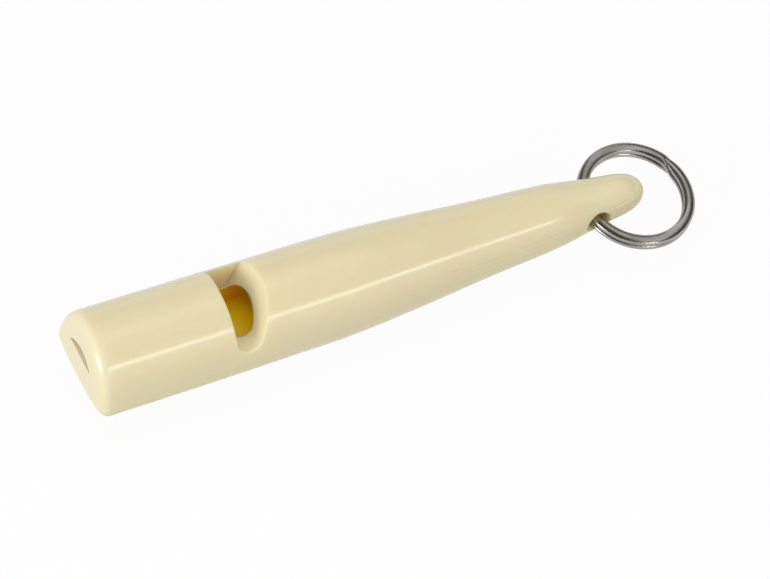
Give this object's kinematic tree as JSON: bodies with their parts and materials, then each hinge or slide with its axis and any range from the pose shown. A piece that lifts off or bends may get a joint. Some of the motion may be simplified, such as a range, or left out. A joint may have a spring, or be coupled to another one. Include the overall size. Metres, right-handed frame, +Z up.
{
  "type": "dog whistle",
  "caption": "Slim moulded dog whistle with a cross-cut sound slot, a tapered tail and a split ring through a hole in it.",
  "frame": {"origin": "under the middle of the whole part's box, at the height of the lowest point of the belly", "axes": "+X along the barrel from the mouthpiece to the tail and ring, +Z up through the sound slot"},
  "size_m": [0.09, 0.0166, 0.0143],
  "materials": {
    "body_plastic": "glossy ivory moulding",
    "block_plastic": "glossy ivory moulding",
    "ring_steel": "bright nickel-plated steel wire"
  },
  "bodies": {
    "whistle": {"whistle_body": "body_plastic", "windway_block": "block_plastic"},
    "ring": {"split_ring": "ring_steel"}
  },
  "joints": [
    {"name": "ring_swing", "type": "hinge", "parent": "whistle", "child": "ring", "pos_m": [0.02976, 0, 0.0065], "axis": [0, 1, 0], "range_deg": [-155, 140]}
  ]
}
